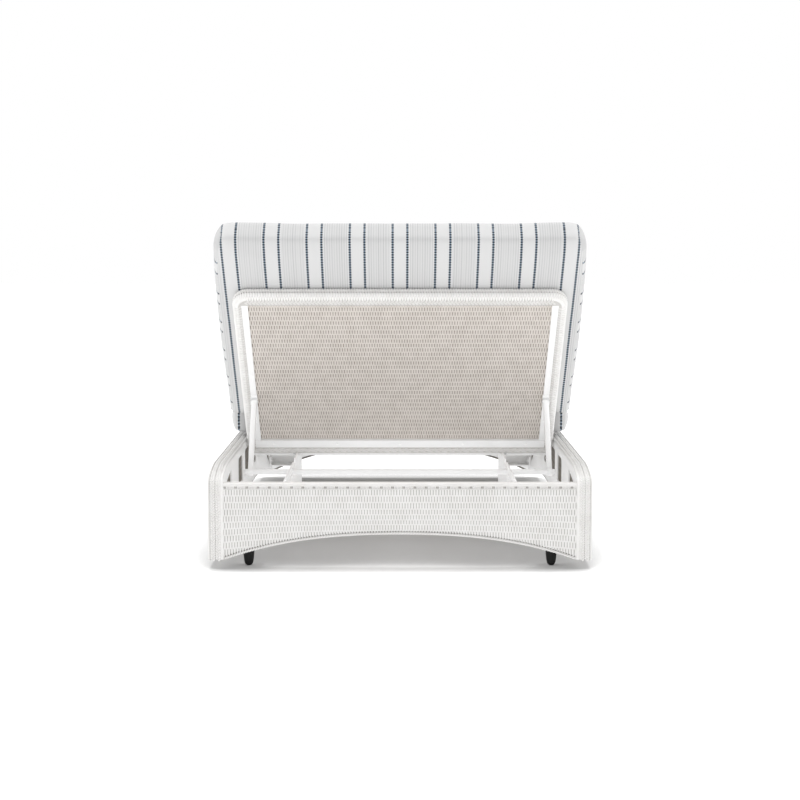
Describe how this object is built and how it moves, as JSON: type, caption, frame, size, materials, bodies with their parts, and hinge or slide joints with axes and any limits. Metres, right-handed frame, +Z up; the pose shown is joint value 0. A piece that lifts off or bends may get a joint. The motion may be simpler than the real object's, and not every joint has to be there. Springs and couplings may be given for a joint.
{
  "type": "chaise lounge",
  "caption": "Wide outdoor chaise lounge with a woven, arch-edged base, a reclining woven back on a notched prop, and thick striped seat and back cushions.",
  "frame": {"origin": "on the floor under the middle of the base", "axes": "+Z up, +Y from the head end to the foot end, +X to the right seen from behind the head end"},
  "size_m": [1.2218, 1.96, 1.0808],
  "materials": {
    "white_metal": "satin",
    "white_wicker": "matte",
    "taupe_weave": "matte",
    "striped_cloth": "matte",
    "black_plastic": "satin",
    "white_plastic": "satin",
    "steel": "satin",
    "nylon": "satin"
  },
  "bodies": {
    "base": {"side_frame_left": "white_metal", "side_frame_right": "white_metal", "head_frame": "white_metal", "foot_frame": "white_metal", "mid_cross_tube": "white_metal", "seat_cross_tube": "white_metal", "seat_rail_left": "white_metal", "seat_rail_right": "white_metal", "seat_rail_head": "white_metal", "seat_rail_foot": "white_metal", "seat_slat": "white_metal", "rack_left": "white_metal", "rack_right": "white_metal", "bracket_head_left": "white_metal", "bracket_head_right": "white_metal", "bracket_foot_left": "white_metal", "bracket_foot_right": "white_metal", "side_skin_left": "white_wicker", "side_skin_right": "white_wicker", "head_skirt": "white_wicker", "foot_skirt": "white_wicker", "seat_deck": "taupe_weave", "rack_bolts": "steel", "foot_studs": "steel", "foot_nuts": "steel", "bracket_bolts": "steel", "leg_tip_head_left": "black_plastic", "leg_tip_head_right": "black_plastic", "leg_tip_foot_left": "black_plastic", "leg_tip_foot_right": "black_plastic", "hinge_bush_left": "nylon", "hinge_bush_right": "nylon", "seat_cushion": "striped_cloth"},
    "back": {"core_foot": "white_metal", "core_head": "white_metal", "core_left": "white_metal", "core_right": "white_metal", "retainer_left": "white_metal", "retainer_right": "white_metal", "retainer_bottom": "white_metal", "prop_lug_left": "white_metal", "prop_lug_right": "white_metal", "wrap_foot": "white_wicker", "wrap_head": "white_wicker", "wrap_left": "white_wicker", "wrap_right": "white_wicker", "back_panel": "taupe_weave", "hinge_pin_left": "steel", "hinge_pin_right": "steel", "prop_pin_left": "steel", "prop_pin_right": "steel", "retainer_screws": "steel"},
    "prop": {"prop_arm_left": "white_metal", "prop_arm_right": "white_metal", "prop_bar": "white_metal", "prop_caps": "white_plastic"},
    "back_cushion": {"back_cushion": "striped_cloth"}
  },
  "joints": [
    {"name": "back_tilt", "type": "hinge", "parent": "base", "child": "back", "pos_m": [0, -0.16, 0.2915], "axis": [-1, 0, 0], "range_deg": [-46.5, 15.5]},
    {"name": "prop_swing", "type": "hinge", "parent": "back", "child": "prop", "pos_m": [0, -0.36914, 0.4625], "axis": [-1, 0, 0], "range_deg": [-31, 93]},
    {"name": "cushion_slide", "type": "slide", "parent": "back", "child": "back_cushion", "axis": [0, -0.6884, 0.7254], "range_m": [-0.0893, 0.0298]}
  ],
  "couplings": [
    {"joint": "prop_swing", "follows": "back_tilt", "ratio": -2},
    {"joint": "cushion_slide", "follows": "back_tilt", "m_per_rad": 0.11}
  ]
}
